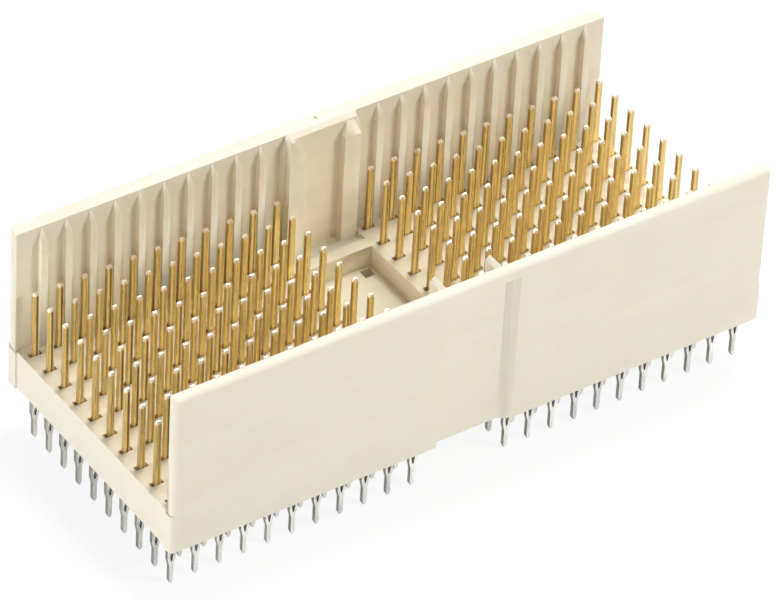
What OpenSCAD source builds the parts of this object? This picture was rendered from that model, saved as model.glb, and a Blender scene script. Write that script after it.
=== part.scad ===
// Multi-pin board connector: an open-ended plastic header that holds rows of press-fit contacts.
// The origin is the middle of the housing's underside. X runs along the rows, +Z up the mating pins.

/* [Contact grid] */
// Distance between neighbouring contacts, both ways
pitch = 2; // [1.8:0.1:2.4]
// Contact columns on each side of the coding block
side_columns = 11; // [2:1:16]
// Columns left free in the middle for the coding block
free_columns = 3; // [3:1:6]

/* [Contacts] */
// Thickness of the metal strip that the contacts are cut from
metal_t = 0.32; // [0.25:0.01:0.5]
// Width of a mating pin
pin_w = 0.47; // [0.3:0.01:0.6]
// Height of the pin tips above the channel floor
pin_h = 5.55; // [3:0.05:9]
// Height of the bevel around a pin tip
tip_bevel_h = 0.22; // [0.1:0.02:0.8]
// How far the tip bevel cuts in on each side
tip_bevel_in = 0.09; // [0.03:0.01:0.12]
// Width of the shoulder that sits in the housing
shoulder_w = 0.95; // [0.75:0.05:1.1]
// Depth of the shoulder's top below the channel floor
shoulder_drop = 0.35; // [0.1:0.05:0.8]
// Width of the straight neck under the shoulder
neck_w = 0.44; // [0.3:0.02:0.6]
// Length of the tails below the housing
tail_l = 4.25; // [3.25:0.05:6]
// Width of a tail at its tip
tail_tip_w = 0.34; // [0.2:0.02:0.4]
// Width across the springy eye of a tail
eye_w = 0.64; // [0.5:0.02:0.8]
// Start of the eye below the housing
eye_drop = 0.55; // [0.2:0.05:0.8]
// Length of the eye, from neck to lower taper
eye_l = 2.1; // [1.8:0.1:2.3]
// Width of the slit in the eye
slit_w = 0.32; // [0.15:0.01:0.34]
// Width of the slit at its two ends
slit_end_w = 0.1; // [0.04:0.02:0.14]
// Length of the slit in the eye
slit_l = 1.34; // [0.8:0.02:1.5]

/* [Housing] */
// Thickness of the housing's base
base_h = 3.25; // [2.4:0.05:5]
// Height of the two long walls above the channel floor
wall_h = 10.4; // [6:0.1:14]
// Left end of the base beyond the outermost column
left_margin = 0.96; // [0.65:0.01:2]
// Right end of the base beyond the outermost column
right_margin = 0.66; // [0.62:0.01:2]
// Reach of the long walls past each end of the base
wall_reach = 0.05; // [0.02:0.01:0.1]
// Reach of the foot pads past each end of the base
pad_reach = 0.17; // [0.12:0.01:0.5]
// Distance from the outermost row to a wall's inner face
channel_margin = 0.95; // [0.8:0.05:1.6]
// Thickness of the front wall
front_wall_t = 0.75; // [0.65:0.05:1.5]
// Thickness of the rear wall
rear_wall_t = 1.25; // [0.8:0.05:2]
// Rounding of the front wall's outer edges
front_edge_r = 0.4; // [0.1:0.05:0.6]
// Rounding of the rear wall's top outer edge
rear_edge_r = 0.3; // [0.1:0.05:0.7]
// Rounding of the rear wall's outer corners
rear_corner_r = 0.7; // [0.1:0.05:0.75]
// How far the foot pads reach under the channel
pad_lap = 0.15; // [0.05:0.05:0.3]
// Height of the seat that a contact's shoulder stands on
seat_h = 1.2; // [0.6:0.1:1.6]
// Gap around a contact in its slot
slot_gap = 0.04; // [0.02:0.01:0.06]

/* [Slot ribs] */
// Width of a slot rib
rib_w = 0.56; // [0.3:0.02:0.7]
// Depth of a slot rib in front of the wall
rib_depth = 0.5; // [0.2:0.05:0.6]
// Height of the pointed top of a slot rib
rib_point_h = 1.1; // [0.5:0.1:2]

/* [Coding block] */
// Depth of the rear guide ribs in front of the wall
guide_depth = 0.95; // [0.65:0.05:1.3]
// Depth of the front guide ribs in front of the wall
front_guide_depth = 1.5; // [0.65:0.05:1.6]
// Inner edge of a guide rib, measured from the middle of the first slot rib
guide_reach = 1.35; // [0.9:0.05:1.6]
// Distance of the roofed guide rib's top from the wall's top
guide_drop = 0.45; // [0.2:0.05:1]
// Width of the slope on the inner side of the roofed guide rib's top
guide_bevel = 0.5; // [0.2:0.05:0.8]
// Height of the roofed guide rib's roof
guide_lead_h = 1; // [0.4:0.1:2]
// Height of the slope on a sharp guide rib's top
guide_slope_h = 1.6; // [0.5:0.05:2]
// Thickness of the flat panel behind the guide ribs
panel_t = 0.3; // [0.05:0.05:0.4]
// Height of the lead-in along the panel's top
panel_lead_h = 0.35; // [0.15:0.05:1]
// Depth of the pit in the channel floor
pit_depth = 1.7; // [0.6:0.1:1.9]
// Side of the pit, measured from the first column
pit_side = 0.95; // [0.65:0.05:1.2]
// End of the pit, measured from the outermost row
pit_end = 1.95; // [1.8:0.05:4]
// Thickness of the cross wall at each end of the pit
cross_wall_t = 0.95; // [0.3:0.05:1]
// Depth of the recess behind each cross wall
recess_depth = 0.3; // [0.1:0.05:1]
// Side of the recess, measured from the first column
recess_side = 0.9; // [0.65:0.05:0.95]
// Length of a coding hole in the pit floor
coding_hole_l = 0.9; // [0.5:0.05:1.4]
// Width of a coding hole in the pit floor
coding_hole_w = 0.85; // [0.5:0.05:1.4]
// Distance of a coding hole from the sides of the pit
coding_hole_in = 0.3; // [0.2:0.05:0.9]

/* [Outside pockets] */
// Depth of the shallow pocket in the outside of each wall
pocket_depth = 0.5; // [0.1:0.05:0.55]
// Distance of the pocket's top from the wall's top
pocket_drop = 0.93; // [0.7:0.05:3]
// Side of the pocket, measured from the middle of the first slot rib
pocket_side = 0.2; // [0:0.05:0.6]
// Length of the ramp that ends the pocket on the right
pocket_ramp_l = 0.95; // [0.2:0.05:3]
// Side of the small square gate mark in the rear wall's top
gate_mark_w = 0.3; // [0.15:0.05:0.5]

/* [Hidden] */

$fn = 48;
eps = 0.05;
left = -1;
right = 1;
rows = 10;

// Grid
first_column = (free_columns + 1) / 2 * pitch;
last_column = first_column + (side_columns - 1) * pitch;
outer_row = (rows - 1) / 2 * pitch;
first_rib = first_column - pitch / 2;

// Heights
wall_top = base_h + wall_h;
pin_top = base_h + pin_h;
shoulder_top = base_h - shoulder_drop;
recess_floor = base_h - recess_depth;

// Housing, all measured from the middle
inner_y = outer_row + channel_margin;
front_y = inner_y + front_wall_t;
rear_y = inner_y + rear_wall_t;
base_left = -last_column - left_margin;
base_right = last_column + right_margin;
slot_l = shoulder_w + 2 * slot_gap;
slot_w = metal_t + 2 * slot_gap;
throat_l = eye_w + 2 * slot_gap;

// Coding block
guide_in = first_rib - guide_reach;
guide_outer_bevel = 0.6 * guide_bevel;
ridge_in = 0.35;
ridge_bevel_h = 0.3;
pit_half_x = first_column - pit_side;
pit_half_y = outer_row - pit_end;
cross_wall_y = pit_half_y + cross_wall_t;
recess_half_x = first_column - recess_side;
pocket_half = first_rib + pocket_side;
knee = 0.6;
gate_mark_depth = 0.08;

// Eye of a tail
eye_ramp = 0.62;
slit_start = eye_drop + (eye_l - slit_l) / 2;
tail_tip_in = 0.1;
tail_tip_h = 0.26;

function row_y(row) = outer_row - row * pitch;

function column_x(column) = first_column + column * pitch;

// Mirrors a list of right-hand points, from top to bottom, into a closed outline.
function both_sides(half) = concat(half, [for (i = [len(half) - 1 : -1 : 0]) [-half[i][0], half[i][1]]]);

// Turns a wall feature made at the rear to the front.
module at_front() {
  mirror([0, 1, 0]) children();
}

// Extrudes an XZ outline along Y.
module along_y(y0, y1) {
  translate([0, y1, 0]) rotate([90, 0, 0]) linear_extrude(y1 - y0) children();
}

// Extrudes a YZ outline along X.
module along_x(x0, x1) {
  translate([x0, 0, 0]) rotate([90, 0, 90]) linear_extrude(x1 - x0) children();
}

// A box given by its two opposite corners.
module block(low, high) {
  translate(low) cube(high - low);
}

// Contact outline: mating pin, shoulder, neck, eye and tail.
module contact_outline() {
  half = [
    [pin_w / 2 - tip_bevel_in, pin_top],
    [pin_w / 2, pin_top - tip_bevel_h],
    [pin_w / 2, shoulder_top],
    [shoulder_w / 2, shoulder_top],
    [shoulder_w / 2, seat_h],
    [neck_w / 2, seat_h],
    [neck_w / 2, -eye_drop],
    [eye_w / 2, -eye_drop - eye_ramp],
    [eye_w / 2, -eye_drop - eye_l + eye_ramp],
    [tail_tip_w / 2, -eye_drop - eye_l],
    [tail_tip_w / 2, -tail_l + tail_tip_h],
    [tail_tip_w / 2 - tail_tip_in, -tail_l]
  ];
  polygon(both_sides(half));
}

// Slit that lets the eye spring: widest in the middle.
module slit_outline() {
  half = [
    [slit_end_w / 2, -slit_start],
    [slit_w / 2, -slit_start - slit_l / 2],
    [slit_end_w / 2, -slit_start - slit_l]
  ];
  polygon(both_sides(half));
}

// The strip's cross-section, with the bevel on the pin's two flat sides.
module strip_side() {
  half = [
    [metal_t / 2 - tip_bevel_in, pin_top],
    [metal_t / 2, pin_top - tip_bevel_h],
    [metal_t / 2, -tail_l]
  ];
  polygon(both_sides(half));
}

module contact() {
  intersection() {
    along_y(-metal_t, metal_t) difference() {
      contact_outline();
      slit_outline();
    }
    along_x(-shoulder_w, shoulder_w) strip_side();
  }
}

// One half row of contacts, on one side of the coding block.
module contact_row(row, side) {
  color("goldenrod")
    for (column = [0 : side_columns - 1])
      translate([side * column_x(column), row_y(row), 0]) contact();
}

// Plan of a wall: its two outer corners are round.
module wall_plan(reach, y1, corner_r) {
  x0 = base_left - reach;
  x1 = base_right + reach;
  translate([x0 + corner_r, inner_y]) square([x1 - x0 - 2 * corner_r, y1 - inner_y]);
  translate([x0, inner_y]) square([x1 - x0, y1 - inner_y - corner_r]);
  for (x = [x0 + corner_r, x1 - corner_r])
    translate([x, y1 - corner_r]) circle(corner_r);
}

// Cross-section of a wall: its top outer edge is round.
module wall_side(y1, edge_r) {
  translate([inner_y, 0]) square([y1 - inner_y, wall_top - edge_r]);
  translate([inner_y, 0]) square([y1 - inner_y - edge_r, wall_top]);
  translate([y1 - edge_r, wall_top - edge_r]) circle(edge_r);
}

module long_wall(y1, edge_r, corner_r) {
  intersection() {
    along_x(base_left - pad_reach, base_right + pad_reach) wall_side(y1, edge_r);
    linear_extrude(wall_top) wall_plan(wall_reach, y1, corner_r);
  }
}

// Foot pad under a wall: a little longer than the wall, with a narrow ledge.
module foot_pad(y1, corner_r) {
  linear_extrude(base_h) wall_plan(pad_reach, y1, corner_r);
  block([base_left - pad_reach, inner_y - pad_lap, 0], [base_right + pad_reach, inner_y + eps, base_h]);
}

module slot_rib(x) {
  top = wall_top - eps;
  low = recess_floor - eps;
  intersection() {
    along_y(inner_y - rib_depth, inner_y + eps) polygon([
      [x - rib_w / 2, low],
      [x + rib_w / 2, low],
      [x + rib_w / 2, top - rib_point_h],
      [x, top],
      [x - rib_w / 2, top - rib_point_h]
    ]);
    along_x(x - rib_w, x + rib_w) polygon([
      [inner_y - rib_depth, low],
      [inner_y + 2 * eps, low],
      [inner_y + 2 * eps, top],
      [inner_y, top],
      [inner_y - rib_depth, top - rib_point_h]
    ]);
  }
}

// Guide rib with a sharp top edge: a small bevel on its left, a steep slope on its right.
module guide_rib_sharp(x0, depth) {
  along_y(inner_y - depth, inner_y + eps) polygon([
    [x0, recess_floor - eps],
    [x0 + guide_reach, recess_floor - eps],
    [x0 + guide_reach, wall_top - guide_slope_h],
    [x0 + ridge_in, wall_top],
    [x0, wall_top - ridge_bevel_h]
  ]);
}

// Guide rib with a roof: it slopes to the left, to the right and to the channel.
module guide_rib_roofed() {
  guide_top = wall_top - guide_drop;
  guide_front = inner_y - guide_depth;
  intersection() {
    along_y(guide_front, inner_y + eps) polygon([
      [guide_in, recess_floor - eps],
      [first_rib, recess_floor - eps],
      [first_rib, guide_top - guide_lead_h],
      [first_rib - guide_outer_bevel, guide_top],
      [guide_in + guide_bevel, guide_top],
      [guide_in, guide_top - guide_lead_h]
    ]);
    along_x(guide_in - eps, first_rib + eps) polygon([
      [guide_front, recess_floor - eps],
      [inner_y + eps, recess_floor - eps],
      [inner_y + eps, guide_top],
      [inner_y - panel_t, guide_top],
      [guide_front, guide_top - guide_lead_h]
    ]);
  }
}

// Flat panel behind the guide ribs, from the first slot rib to its twin, with a lead-in along its top.
module panel() {
  along_x(-first_rib, first_rib) polygon([
    [inner_y - panel_t, recess_floor - eps],
    [inner_y + eps, recess_floor - eps],
    [inner_y + eps, wall_top],
    [inner_y, wall_top],
    [inner_y - panel_t, wall_top - panel_lead_h]
  ]);
}

// What both walls carry on their inner faces.
module wall_inside() {
  for (side = [left, right], column = [0 : side_columns - 1])
    slot_rib(side * (first_rib + column * pitch));
  panel();
}

// Pocket in the outside of a wall, open at the bottom: a step on its left and a ramp on its right.
module outside_pocket(y1) {
  translate([0, 0, -1]) linear_extrude(wall_top - pocket_drop + 1) polygon([
    [-pocket_half, y1 - pocket_depth],
    [pocket_half - pocket_ramp_l, y1 - pocket_depth],
    [pocket_half - knee * pocket_ramp_l, y1 - (1 - knee) * pocket_depth],
    [pocket_half, y1],
    [pocket_half, y1 + pocket_depth],
    [-pocket_half, y1 + pocket_depth]
  ]);
}

// Recess between the pit's cross wall and the panel.
module floor_recess() {
  block([-recess_half_x, cross_wall_y, recess_floor], [recess_half_x, inner_y, wall_top]);
}

// Pit in the middle of the floor, with two coding holes in opposite corners.
module pit() {
  block([-pit_half_x, -pit_half_y, base_h - pit_depth], [pit_half_x, pit_half_y, base_h + 1]);
  for (turn = [0, 180])
    rotate([0, 0, turn])
      translate([pit_half_x - coding_hole_in - coding_hole_l, pit_half_y - coding_hole_in - coding_hole_w, -1])
        cube([coding_hole_l, coding_hole_w, base_h + 1]);
}

// Slot for a contact: wide for its shoulder, and just wide enough for its eye below the seat.
module contact_slot() {
  translate([-slot_l / 2, -slot_w / 2, seat_h]) cube([slot_l, slot_w, base_h]);
  translate([-throat_l / 2, -slot_w / 2, -1]) cube([throat_l, slot_w, seat_h + 2]);
}

module contact_slots() {
  for (side = [left, right], row = [0 : rows - 1], column = [0 : side_columns - 1])
    translate([side * column_x(column), row_y(row), 0]) contact_slot();
}

module gate_mark() {
  translate([0, inner_y + rear_wall_t / 2, wall_top])
    cube([gate_mark_w, gate_mark_w, 2 * gate_mark_depth], center = true);
}

module base() {
  difference() {
    union() {
      block([base_left, -inner_y - eps, 0], [base_right, inner_y + eps, base_h]);
      foot_pad(rear_y, rear_corner_r);
      at_front() foot_pad(front_y, front_edge_r);
    }
    pit();
    floor_recess();
    at_front() floor_recess();
    contact_slots();
  }
}

module housing() {
  color("wheat") difference() {
    union() {
      base();
      long_wall(rear_y, rear_edge_r, rear_corner_r);
      wall_inside();
      guide_rib_sharp(-first_rib, guide_depth);
      guide_rib_roofed();
      at_front() {
        long_wall(front_y, front_edge_r, front_edge_r);
        wall_inside();
        guide_rib_sharp(-first_rib, front_guide_depth);
        guide_rib_sharp(guide_in, front_guide_depth);
      }
    }
    outside_pocket(rear_y);
    at_front() outside_pocket(front_y);
    gate_mark();
  }
}

housing();
contact_row(0, left);  // contacts_row_a_left
contact_row(0, right);  // contacts_row_a_right
contact_row(1, left);  // contacts_row_b_left
contact_row(1, right);  // contacts_row_b_right
contact_row(2, left);  // contacts_row_c_left
contact_row(2, right);  // contacts_row_c_right
contact_row(3, left);  // contacts_row_d_left
contact_row(3, right);  // contacts_row_d_right
contact_row(4, left);  // contacts_row_e_left
contact_row(4, right);  // contacts_row_e_right
contact_row(5, left);  // contacts_row_f_left
contact_row(5, right);  // contacts_row_f_right
contact_row(6, left);  // contacts_row_g_left
contact_row(6, right);  // contacts_row_g_right
contact_row(7, left);  // contacts_row_h_left
contact_row(7, right);  // contacts_row_h_right
contact_row(8, left);  // contacts_row_i_left
contact_row(8, right);  // contacts_row_i_right
contact_row(9, left);  // contacts_row_j_left
contact_row(9, right);  // contacts_row_j_right
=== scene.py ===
import math

import bmesh
import bpy
from mathutils import Matrix, Vector


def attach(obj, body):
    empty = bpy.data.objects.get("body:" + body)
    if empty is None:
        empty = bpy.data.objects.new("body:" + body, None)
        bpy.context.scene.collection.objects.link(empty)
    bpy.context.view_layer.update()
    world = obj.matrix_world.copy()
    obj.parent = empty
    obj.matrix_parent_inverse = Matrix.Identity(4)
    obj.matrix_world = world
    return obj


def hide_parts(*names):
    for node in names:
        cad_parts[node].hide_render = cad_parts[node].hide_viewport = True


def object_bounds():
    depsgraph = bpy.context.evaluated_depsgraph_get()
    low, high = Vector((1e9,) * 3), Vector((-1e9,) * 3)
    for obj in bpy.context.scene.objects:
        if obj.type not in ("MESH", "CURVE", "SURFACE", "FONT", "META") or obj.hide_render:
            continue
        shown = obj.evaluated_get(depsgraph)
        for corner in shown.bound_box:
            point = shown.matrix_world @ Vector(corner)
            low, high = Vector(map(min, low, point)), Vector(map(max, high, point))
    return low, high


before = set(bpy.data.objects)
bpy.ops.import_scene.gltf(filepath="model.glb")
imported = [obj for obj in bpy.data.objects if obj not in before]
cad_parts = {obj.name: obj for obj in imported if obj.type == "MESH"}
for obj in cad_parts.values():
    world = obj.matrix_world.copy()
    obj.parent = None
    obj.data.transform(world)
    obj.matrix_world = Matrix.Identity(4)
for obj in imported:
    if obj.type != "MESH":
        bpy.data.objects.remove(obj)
cad_box = [list(corner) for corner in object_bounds()]

MM = 0.001

# Photograph
IMAGE_WIDTH_PX = 776
FOCAL_PX = 6307.4
SENSOR_WIDTH_MM = 36
CAMERA_AZIMUTH = math.radians(-35.79)
CAMERA_ELEVATION = math.radians(39.25)
CAMERA_ROLL = math.radians(3.25)
CAMERA_DISTANCE = 0.44578
CAMERA_TARGET = Vector((-0.27, 0.10, 4.5)) * MM
CAMERA_RANGE = (0.01, 20)

# Places on the connector: heights above its underside, and distances from the middle of the contact grid
PITCH = 2 * MM
FLOOR_Z = 3.25 * MM
SLOT_FIELD_Y = 9.35 * MM
SLOT_EDGE_LENGTH = 1.2 * MM
INNER_Y = 9.95 * MM
WALL_TOP_Z = 13.65 * MM
GUIDE_TOP_Z = 12.0 * MM
GUIDE_END_X = 3.1 * MM
FLOOR_END_X = 24.9 * MM
PIN_TOP_Z = 8.8 * MM
SHOULDER_Z = 2.9 * MM

# Roundings, and the angles from which an edge looks sharp
BODY_EDGE = 0.07 * MM
BODY_SEGMENTS = 2
BODY_CREASE = math.radians(13.5)
PIN_EDGE = 0.055 * MM
PIN_SEGMENTS = 1
PIN_CREASE = math.radians(35)
OUTER_CORNER = math.radians(35)

# How far points and faces of the CAD mesh may be apart and still be joined
JOINED_POINTS = 0.0005 * MM
JOINED_FACES = math.radians(0.5)
UPRIGHT_SLACK = 0.001 * MM

# Light: how bright a white face looks under it
ROOM_LEVEL = 0.17
SOFT_BOXES = {
    "key_above": ((0.30, 0.16, 0.94), 0.3, 0.62),
    "front_right": ((0.58, -0.66, 0.58), 0.4, 0.54),
    "front_left": ((-0.75, -0.65, 0.25), 0.25, 0.10),
    "end_left": ((-1.0, 0.10, 0.15), 0.25, 0.51),
    "back_right": ((0.45, 0.63, 0.63), 0.25, 0.20),
}

# Table under the connector
TABLE_HALF_SIZE = 3
TABLE_WHITE = (0.86, 0.86, 0.85, 1)
TABLE_ROUGHNESS = 0.9
TABLE_GLOW = 1.06
TABLE_GLOW_SHARE = 0.82

# Colours, as linear values
PLASTIC = (0.80, 0.75, 0.635)
PLASTIC_SHADE = (0.75, 0.69, 0.56)
PLASTIC_FLECK = (0.87, 0.83, 0.73)
# Painted warm bounce light: the channel's inside made yellower, standing in for light bounced between its
# walls and pins
PLASTIC_CHANNEL_PAINTED_BOUNCE = (0.87, 0.80, 0.62)
GOLD = (0.98, 0.73, 0.285)
# Painted shade on the pins' sheared side faces
GOLD_SIDE_PAINTED_SHADE = (0.50, 0.35, 0.12)
GOLD_BAND = (0.09, 0.065, 0.03)
# Painted highlight on the pin tips and the rounded pin edges
GOLD_PAINTED_HIGHLIGHT = (1.0, 0.90, 0.72)
TIN = (0.92, 0.90, 0.86)
# Painted shade on the tails' sheared side faces
TIN_SIDE_PAINTED_SHADE = (0.20, 0.18, 0.14)

# Housing plastic
PLASTIC_GRAIN_PER_M = 9000
PLASTIC_CLOUDS_PER_M = 260
FLOW_PER_M = (120, 900, 900)
CLOUD_RANGE = (0.8, 1.25)
CLOUD_SHARE = 0.4
FLECK_RANGE = (0.62, 0.78)
FLECK_SHARE = 0.35
# Where the painted bounce light inside the channel fades out
CHANNEL_SIDE_FADE = 0.02 * MM
CHANNEL_TOP_FADE = (0.05 * MM, 2 * MM)
CHANNEL_END_FADE = 0.5 * MM
CHANNEL_FLOOR_FADE = 0.5 * MM
CHANNEL_FLOOR_SHARE = 0.85
PLASTIC_ROUGHNESS = (0.42, 0.56)
PLASTIC_BUMP = {"Strength": 0.35, "Distance": 0.012 * MM}
PLASTIC_DEPTH = {
    "Subsurface Weight": 0.25,
    "Subsurface Scale": 0.7 * MM,
    "Subsurface Radius": (1.0, 0.75, 0.45),
    "Specular IOR Level": 0.45,
}

# Ejector marks: their middles in mm, and the ring that each leaves on the floor
EJECTOR_MARKS = ((-24.1, 2.5), (-24.3, 4.2))
RING_RADIUS = 0.5 * MM
RING_FADE = (0.09 * MM, 0.02 * MM)
RING_HEIGHT_FADE = (0.03 * MM, 0.01 * MM)
RING_SHARE = 0.5

# Contact metal
METAL_GRAIN_PER_M = 7000
METAL_CLOUDS_PER_M = 700
LINES_PER_M = (9000, 9000, 400)
TIP_FADE = (0.3 * MM, 0.15 * MM)
TIN_FADE = 0.4 * MM
TONE_LINES = 1.2
TONE_EACH = 0.35
TONE_GRAIN = 0.6
TONE_RANGE = (1.2, 1.95)
TONE = (0.68, 1.12)
# How much painted shade the sheared side faces take, varying with the clouds
SIDE_SHADE_RANGE = (0.3, 0.65)
SIDE_SHADE_AMOUNT = (0.7, 1.0)
BAND_X = 0.06 * MM
BAND_FADE = (0.11 * MM, 0.05 * MM)
# How strong the dark band is: varying from pin to pin, and rising towards the left end
BAND_EACH = 0.9
BAND_LEFT_X = (-10 * MM, -24 * MM)
BAND_LEFT = 0.5
BAND_RANGE = (0.85, 1.6)
BAND_SHARE = 0.9
# How strongly the painted highlight shows on the rounded edges, and overall
EDGE_HIGHLIGHT_SHARE = 0.9
PAINTED_HIGHLIGHT_SHARE = 0.8
METAL_ROUGHNESS = (0.24, 0.38)
TIN_ROUGHER = 0.12
BUMP_GRAIN = 0.5
METAL_BUMP = {"Strength": 0.25, "Distance": 0.006 * MM}
METALLIC = 0.5

# Noise: how many finer layers it has, how strong they are, and its middle part, which roughness follows
GROUP_DETAIL = 3.0
GRAIN_STRENGTH = 0.6
CLOUD_STRENGTH = 0.55
STREAK_DETAIL = 2.0
NOISE_MIDDLE = (0.3, 0.7)

# Faces that look along the rows are cut ones, and get painted shade. Those that look between the two
# directions are rounded edges, and get a painted highlight.
CUT_FROM = 0.75
CUT_BLEND = 0.2
ROUNDED_FROM = 0.5


# Node helpers

class Tree:
    """Adds nodes to a node tree and joins them, with short words."""

    def __init__(self, tree):
        self.tree = tree

    def add(self, kind, values=(), **settings):
        node = self.tree.nodes.new(kind)
        for name, value in settings.items():
            setattr(node, name, value)
        for socket, value in dict(values).items():
            self.feed(node.inputs[socket], value)
        return node

    def feed(self, socket, value):
        if isinstance(value, bpy.types.NodeSocket):
            self.tree.links.new(value, socket)
        else:
            socket.default_value = value

    def math(self, operation, a, b=0.0):
        return self.add("ShaderNodeMath", {0: a, 1: b}, operation=operation).outputs[0]

    def ramp(self, value, low, high, to_low=0.0, to_high=1.0):
        limits = {"From Min": low, "From Max": high, "To Min": to_low, "To Max": to_high}
        return self.add("ShaderNodeMapRange", {"Value": value, **limits}).outputs[0]

    def mix(self, share, a, b):
        node = self.add("ShaderNodeMix", data_type="RGBA")
        self.feed(node.inputs[0], share)
        self.feed(node.inputs[6], a if isinstance(a, bpy.types.NodeSocket) else (*a, 1))
        self.feed(node.inputs[7], b if isinstance(b, bpy.types.NodeSocket) else (*b, 1))
        return node.outputs[2]

    def noise(self, place, scale, detail, roughness=0.5):
        settings = {"Scale": scale, "Detail": detail, "Roughness": roughness}
        return self.add("ShaderNodeTexNoise", {"Vector": place, **settings}).outputs[0]

    def stretch(self, place, scale):
        return self.add("ShaderNodeMapping", {"Vector": place, "Scale": scale}).outputs[0]

    def seen_directly(self):
        """1 for what the camera sees, whether straight, mirrored or through glass."""
        path = self.add("ShaderNodeLightPath")
        seen = self.math("MAXIMUM", path.outputs["Is Camera Ray"], path.outputs["Is Glossy Ray"])
        return self.math("MAXIMUM", seen, path.outputs["Is Transmission Ray"])


def new_group(name, inputs, outputs):
    """A node group whose inputs and outputs are given as names with their kinds of socket."""
    group = bpy.data.node_groups.new(name, "ShaderNodeTree")
    for label, kind in inputs.items():
        group.interface.new_socket(label, in_out="INPUT", socket_type=kind)
    for label, kind in outputs.items():
        group.interface.new_socket(label, in_out="OUTPUT", socket_type=kind)
    tree = Tree(group)
    return tree, tree.add("NodeGroupInput").outputs, tree.add("NodeGroupOutput").inputs


def grain_group():
    """Fine surface grain and slow cloudiness, each from 0 to 1 about a middle of one half."""
    tree, given, result = new_group(
        "surface_grain",
        {
            "Place": "NodeSocketVector",
            "Grain per metre": "NodeSocketFloat",
            "Clouds per metre": "NodeSocketFloat",
        },
        {"Grain": "NodeSocketFloat", "Clouds": "NodeSocketFloat"},
    )
    grain = tree.noise(given["Place"], given["Grain per metre"], GROUP_DETAIL, GRAIN_STRENGTH)
    clouds = tree.noise(given["Place"], given["Clouds per metre"], GROUP_DETAIL, CLOUD_STRENGTH)
    tree.feed(result["Grain"], grain)
    tree.feed(result["Clouds"], clouds)
    return tree.tree


def new_material(name):
    material = bpy.data.materials.new(name)
    material.use_nodes = True
    tree = Tree(material.node_tree)
    tree.tree.nodes.clear()
    shader = tree.add("ShaderNodeBsdfPrincipled")
    tree.add("ShaderNodeOutputMaterial", {"Surface": shader.outputs["BSDF"]})
    return material, tree, shader


def add_surface(tree, group, grain_per_metre, clouds_per_metre):
    """The place on the object, its three axes, and the shared grain at the scale given."""
    place = tree.add("ShaderNodeTexCoord").outputs["Object"]
    axes = tree.add("ShaderNodeSeparateXYZ", {0: place})
    surface = tree.add("ShaderNodeGroup", node_tree=group)
    tree.feed(surface.inputs["Place"], place)
    surface.inputs["Grain per metre"].default_value = grain_per_metre
    surface.inputs["Clouds per metre"].default_value = clouds_per_metre
    return place, axes.outputs, surface.outputs


def add_bump(tree, shader, height, settings):
    bump = tree.add("ShaderNodeBump", {"Height": height, **settings})
    tree.feed(shader.inputs["Normal"], bump.outputs[0])


def painted_bounce_mask(tree, axes):
    """1 on the faces inside the channel, fading out towards the wall tops, the ends and the floor: where
    warm bounced light is painted into the plastic.
    """
    from_middle = tree.math("ABSOLUTE", axes[1])
    inside = tree.ramp(from_middle, INNER_Y + CHANNEL_SIDE_FADE, INNER_Y - CHANNEL_SIDE_FADE)
    top_start, top_end = CHANNEL_TOP_FADE
    below_top = tree.ramp(axes[2], WALL_TOP_Z - top_start, WALL_TOP_Z - top_end)
    off_end = tree.ramp(tree.math("ABSOLUTE", axes[0]), FLOOR_END_X, FLOOR_END_X - CHANNEL_END_FADE)
    above_floor = tree.ramp(axes[2], FLOOR_Z, FLOOR_Z + CHANNEL_FLOOR_FADE, CHANNEL_FLOOR_SHARE, 1.0)
    walls = tree.math("MULTIPLY", inside, below_top)
    return tree.math("MULTIPLY", walls, tree.math("MULTIPLY", off_end, above_floor))


def ejector_mask(tree, axes):
    """1 on the rings that the ejector pins left on the channel's floor."""
    ring = 0.0
    for x, y in EJECTOR_MARKS:
        flat = tree.add("ShaderNodeCombineXYZ", {0: axes[0], 1: axes[1]}).outputs[0]
        middle = (x * MM, y * MM, 0)
        away = tree.add("ShaderNodeVectorMath", {0: flat, 1: middle}, operation="DISTANCE").outputs["Value"]
        edge = tree.math("ABSOLUTE", tree.math("SUBTRACT", away, RING_RADIUS))
        ring = tree.math("MAXIMUM", ring, tree.ramp(edge, *RING_FADE))
    off_floor = tree.math("ABSOLUTE", tree.math("SUBTRACT", axes[2], FLOOR_Z))
    return tree.math("MULTIPLY", ring, tree.ramp(off_floor, *RING_HEIGHT_FADE))


def plastic_material(group):
    """Glass-filled beige moulding: faint clouds and flecks, fine grain, ejector marks on the floor, and
    painted warm bounce light inside the channel.
    """
    material, tree, shader = new_material("housing_plastic")
    place, axes, surface = add_surface(tree, group, PLASTIC_GRAIN_PER_M, PLASTIC_CLOUDS_PER_M)
    flow = tree.noise(tree.stretch(place, FLOW_PER_M), 1.0, STREAK_DETAIL)
    clouds = tree.ramp(tree.math("ADD", surface["Clouds"], flow), *CLOUD_RANGE)
    flecks = tree.ramp(surface["Grain"], *FLECK_RANGE, 0.0, FLECK_SHARE)
    marks = ejector_mask(tree, axes)
    # Painted warm bounce light on the faces inside the channel
    colour = tree.mix(painted_bounce_mask(tree, axes), PLASTIC, PLASTIC_CHANNEL_PAINTED_BOUNCE)
    colour = tree.mix(tree.math("MULTIPLY", clouds, CLOUD_SHARE), colour, PLASTIC_SHADE)
    colour = tree.mix(flecks, colour, PLASTIC_FLECK)
    colour = tree.mix(tree.math("MULTIPLY", marks, RING_SHARE), colour, PLASTIC_SHADE)
    tree.feed(shader.inputs["Base Color"], colour)
    roughness = tree.ramp(surface["Clouds"], *NOISE_MIDDLE, *PLASTIC_ROUGHNESS)
    tree.feed(shader.inputs["Roughness"], roughness)
    add_bump(tree, shader, tree.math("SUBTRACT", surface["Grain"], marks), PLASTIC_BUMP)
    for socket, value in PLASTIC_DEPTH.items():
        shader.inputs[socket].default_value = value
    return material


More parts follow.
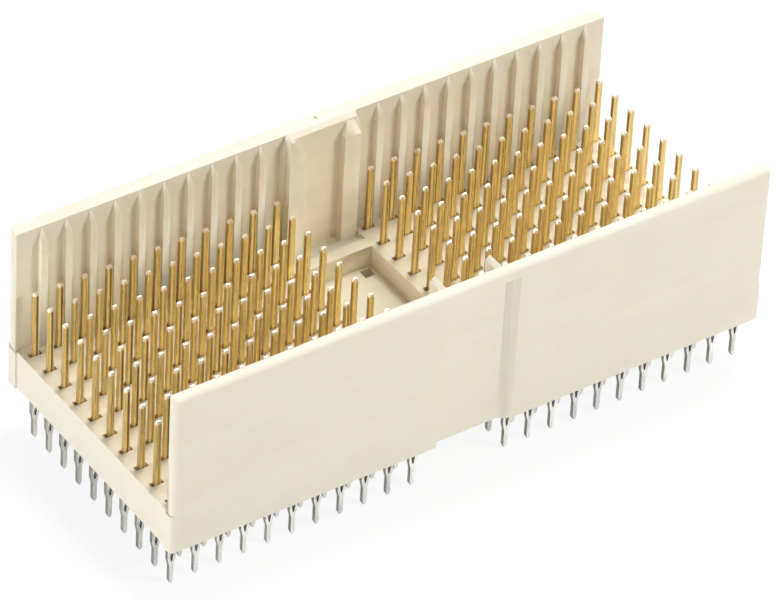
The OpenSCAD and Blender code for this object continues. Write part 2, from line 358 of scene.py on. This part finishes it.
def band_mask(tree, axes, column, each, clouds, sheared):
    """The dark band along a pin's flat faces, stronger on some pins and towards the left end."""
    across = tree.math("SUBTRACT", axes[0], tree.math("MULTIPLY", column, PITCH))
    band = tree.ramp(tree.math("ABSOLUTE", tree.math("SUBTRACT", across, BAND_X)), *BAND_FADE)
    band = tree.math("MULTIPLY", band, tree.math("SUBTRACT", 1.0, sheared))
    to_left = tree.ramp(axes[0], *BAND_LEFT_X, 0.0, BAND_LEFT)
    band_strength = tree.math("ADD", tree.math("MULTIPLY", each, BAND_EACH), to_left)
    band_strength = tree.ramp(tree.math("ADD", band_strength, clouds), *BAND_RANGE, 0.0, BAND_SHARE)
    return tree.math("MULTIPLY", band, band_strength)


def contact_material(group):
    """Gold-plated pins over tin-plated tails, with painted shade on the sheared sides, painted highlights
    on the tips and rounded edges, and drawn lines along the strip.
    """
    material, tree, shader = new_material("contact_metal")
    place, axes, surface = add_surface(tree, group, METAL_GRAIN_PER_M, METAL_CLOUDS_PER_M)
    lines = tree.noise(tree.stretch(place, LINES_PER_M), 1.0, STREAK_DETAIL)
    column = tree.math("ROUND", tree.math("DIVIDE", axes[0], PITCH))
    row = tree.math("FLOOR", tree.math("DIVIDE", axes[1], PITCH))
    cell = tree.add("ShaderNodeCombineXYZ", {0: column, 1: row}).outputs[0]
    each = tree.add("ShaderNodeTexWhiteNoise", {"Vector": cell}).outputs["Value"]
    sheared = tree.add("ShaderNodeAttribute", attribute_name="sheared").outputs["Fac"]
    painted_edge_highlight = tree.add("ShaderNodeAttribute", attribute_name="painted_edge_highlight").outputs["Fac"]
    tip_start, tip_end = TIP_FADE
    tip = tree.ramp(axes[2], PIN_TOP_Z - tip_start, PIN_TOP_Z - tip_end)
    tails = tree.ramp(axes[2], SHOULDER_Z, SHOULDER_Z - TIN_FADE)
    # Painted shade on the sheared side faces of pins and tails, mottled by the clouds
    painted_side_shade = tree.math("MULTIPLY", sheared, tree.ramp(surface["Clouds"], *SIDE_SHADE_RANGE, *SIDE_SHADE_AMOUNT))
    band = band_mask(tree, axes, column, each, surface["Clouds"], sheared)
    # Painted highlight on the tips and the rounded edges
    painted_highlight = tree.math("MAXIMUM", tip, tree.math("MULTIPLY", painted_edge_highlight, EDGE_HIGHLIGHT_SHARE))
    gold = tree.mix(painted_side_shade, GOLD, GOLD_SIDE_PAINTED_SHADE)
    gold = tree.mix(band, gold, GOLD_BAND)
    gold = tree.mix(tree.math("MULTIPLY", painted_highlight, PAINTED_HIGHLIGHT_SHARE), gold, GOLD_PAINTED_HIGHLIGHT)
    # Tin on the tails, with painted shade on their sheared sides
    metal = tree.mix(tails, gold, tree.mix(painted_side_shade, TIN, TIN_SIDE_PAINTED_SHADE))
    streaks = tree.math("MULTIPLY", lines, TONE_LINES)
    streaks = tree.math("ADD", streaks, tree.math("MULTIPLY", each, TONE_EACH))
    streaks = tree.math("ADD", streaks, tree.math("MULTIPLY", surface["Grain"], TONE_GRAIN))
    tone = tree.ramp(tree.math("ADD", surface["Clouds"], streaks), *TONE_RANGE, *TONE)
    toned = tree.add("ShaderNodeVectorMath", {0: metal, "Scale": tone}, operation="SCALE").outputs[0]
    tree.feed(shader.inputs["Base Color"], toned)
    roughness = tree.ramp(lines, *NOISE_MIDDLE, *METAL_ROUGHNESS)
    roughness = tree.math("ADD", roughness, tree.math("MULTIPLY", tails, TIN_ROUGHER))
    tree.feed(shader.inputs["Roughness"], roughness)
    height = tree.math("ADD", lines, tree.math("MULTIPLY", surface["Grain"], BUMP_GRAIN))
    add_bump(tree, shader, height, METAL_BUMP)
    shader.inputs["Metallic"].default_value = METALLIC
    return material


def floor_material():
    """White to the camera and in reflections, with a faint shadow of the object left in it."""
    material, tree, shader = new_material("floor")
    output = next(node for node in tree.tree.nodes if node.type == "OUTPUT_MATERIAL")
    shader.inputs["Base Color"].default_value = TABLE_WHITE
    shader.inputs["Roughness"].default_value = TABLE_ROUGHNESS
    shader.inputs["Specular IOR Level"].default_value = 0.0
    share = tree.math("MULTIPLY", tree.seen_directly(), TABLE_GLOW_SHARE)
    white = tree.add("ShaderNodeEmission", {"Color": (1, 1, 1, 1), "Strength": TABLE_GLOW})
    blend = tree.add("ShaderNodeMixShader", {0: share, 1: shader.outputs[0], 2: white.outputs[0]})
    tree.feed(output.inputs["Surface"], blend.outputs[0])
    return material


# Pieces

def set_material(obj, material):
    obj.data.materials.clear()
    obj.data.materials.append(material)


def merged_copy(node_name):
    """The CAD node's loose triangles, joined into whole faces."""
    shape = bmesh.new()
    shape.from_mesh(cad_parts[node_name].data)
    bmesh.ops.remove_doubles(shape, verts=shape.verts, dist=JOINED_POINTS)
    bmesh.ops.dissolve_limit(shape, angle_limit=JOINED_FACES, verts=shape.verts, edges=shape.edges,
                             use_dissolve_boundaries=False, delimit=set())
    return shape


def round_edges(shape, edges, width, segments, crease):
    """Bevels the edges. The others stay sharp where their faces meet at more than the crease angle."""
    for face in shape.faces:
        face.smooth = True
    for edge in shape.edges:
        edge.smooth = len(edge.link_faces) == 2 and edge.calc_face_angle(0) < crease
    made = bmesh.ops.bevel(shape, geom=edges, offset=width, offset_type="OFFSET", segments=segments,
                           profile=0.5, affect="EDGES", clamp_overlap=True, loop_slide=True, material=-1)
    for face in made["faces"]:
        for edge in face.edges:
            edge.smooth = True


def add_piece(name, shape, material, replaced):
    mesh = bpy.data.meshes.new(name)
    shape.to_mesh(mesh)
    shape.free()
    piece = bpy.data.objects.new(name, mesh)
    bpy.context.scene.collection.objects.link(piece)
    set_material(piece, material)
    normals = piece.modifiers.new("even_normals", "WEIGHTED_NORMAL")
    normals.keep_sharp = True
    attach(piece, "root")
    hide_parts(replaced)


def is_outer_corner(edge):
    """A convex edge sharper than the angle set for outer corners."""
    return len(edge.link_faces) == 2 and edge.calc_face_angle_signed(0) > OUTER_CORNER


def add_housing(material):
    shape = merged_copy("housing")
    edges = []
    for edge in shape.edges:
        middle = (edge.verts[0].co + edge.verts[1].co) / 2
        around_slots = abs(middle.y) < SLOT_FIELD_Y and edge.calc_length() < SLOT_EDGE_LENGTH
        in_channel = abs(middle.x) < GUIDE_END_X and abs(middle.y) < INNER_Y
        on_guide_top = in_channel and middle.z > GUIDE_TOP_Z
        if is_outer_corner(edge) and not around_slots and not on_guide_top:
            edges.append(edge)
    round_edges(shape, edges, BODY_EDGE, BODY_SEGMENTS, BODY_CREASE)
    add_piece("moulded_housing", shape, material, "housing")


def mark_cut_faces(shape):
    """Attributes for the metal: 1 on faces cut across the strip, which get painted shade, and 1 on the
    rounded edges between, which get a painted highlight.
    """
    sheared = shape.faces.layers.float.new("sheared")
    painted_edge_highlight = shape.faces.layers.float.new("painted_edge_highlight")
    for face in shape.faces:
        across, flat = abs(face.normal.x), abs(face.normal.y)
        face[sheared] = min(max((across - CUT_FROM) / CUT_BLEND, 0), 1)
        face[painted_edge_highlight] = 1 if min(across, flat) > ROUNDED_FROM else 0


def add_contacts(node_name, material):
    shape = merged_copy(node_name)
    edges = []
    for edge in shape.edges:
        low, high = sorted((edge.verts[0].co, edge.verts[1].co), key=lambda co: co.z)
        upright = (high - low).length - (high.z - low.z) < UPRIGHT_SLACK
        on_pin = high.z > FLOOR_Z + PITCH
        if upright and on_pin and is_outer_corner(edge):
            edges.append(edge)
    round_edges(shape, edges, PIN_EDGE, PIN_SEGMENTS, PIN_CREASE)
    mark_cut_faces(shape)
    add_piece(node_name.replace("contacts", "pins"), shape, material, node_name)


# Stage

def camera_axes():
    """Right, up and back of the camera, in the row frame."""
    back = Vector((
        math.sin(CAMERA_AZIMUTH) * math.cos(CAMERA_ELEVATION),
        -math.cos(CAMERA_AZIMUTH) * math.cos(CAMERA_ELEVATION),
        math.sin(CAMERA_ELEVATION),
    ))
    right = Vector((0, 0, 1)).cross(back).normalized()
    right = Matrix.Rotation(CAMERA_ROLL, 3, back) @ right
    return right, back.cross(right), back


def add_camera():
    data = bpy.data.cameras.new("camera")
    data.sensor_width = SENSOR_WIDTH_MM
    data.lens = FOCAL_PX / IMAGE_WIDTH_PX * data.sensor_width
    data.clip_start, data.clip_end = CAMERA_RANGE
    camera = bpy.data.objects.new("camera", data)
    right, up, back = camera_axes()
    turn = Matrix((right, up, back)).transposed()
    camera.matrix_world = Matrix.Translation(CAMERA_TARGET + back * CAMERA_DISTANCE) @ turn.to_4x4()
    bpy.context.scene.collection.objects.link(camera)
    bpy.context.scene.camera = camera


def add_floor():
    """The table: a wide square on which the tail tips stand."""
    mesh = bpy.data.meshes.new("floor")
    shape = bmesh.new()
    bmesh.ops.create_grid(shape, x_segments=1, y_segments=1, size=TABLE_HALF_SIZE)
    bmesh.ops.translate(shape, verts=shape.verts, vec=(0, 0, cad_box[0][2]))
    shape.to_mesh(mesh)
    shape.free()
    floor = bpy.data.objects.new("floor", mesh)
    bpy.context.scene.collection.objects.link(floor)
    set_material(floor, floor_material())


def add_soft_box(name, direction, size, level):
    """A square lamp one metre away. A white face turned to it shows the level."""
    data = bpy.data.lights.new(name, "AREA")
    data.size = size
    data.energy = level * math.pi ** 2
    light = bpy.data.objects.new(name, data)
    light.location = Vector(direction).normalized()
    light.rotation_euler = (-light.location).to_track_quat("-Z", "Y").to_euler()
    bpy.context.scene.collection.objects.link(light)


def add_world():
    """Soft white surroundings, which the camera sees as plain white."""
    world = bpy.data.worlds.new("studio")
    world.use_nodes = True
    bpy.context.scene.world = world
    tree = Tree(world.node_tree)
    background = world.node_tree.nodes["Background"]
    background.inputs["Color"].default_value = (1, 1, 1, 1)
    tree.feed(background.inputs["Strength"], tree.ramp(tree.seen_directly(), 0.0, 1.0, ROOM_LEVEL, 1.0))


grain = grain_group()
add_housing(plastic_material(grain))
metal = contact_material(grain)
for name in list(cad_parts):
    if name.startswith("contacts_row"):
        add_contacts(name, metal)

add_camera()
add_floor()
add_world()
for name, (direction, size, level) in SOFT_BOXES.items():
    add_soft_box(name, direction, size, level)

bpy.context.scene.view_settings.view_transform = "Standard"
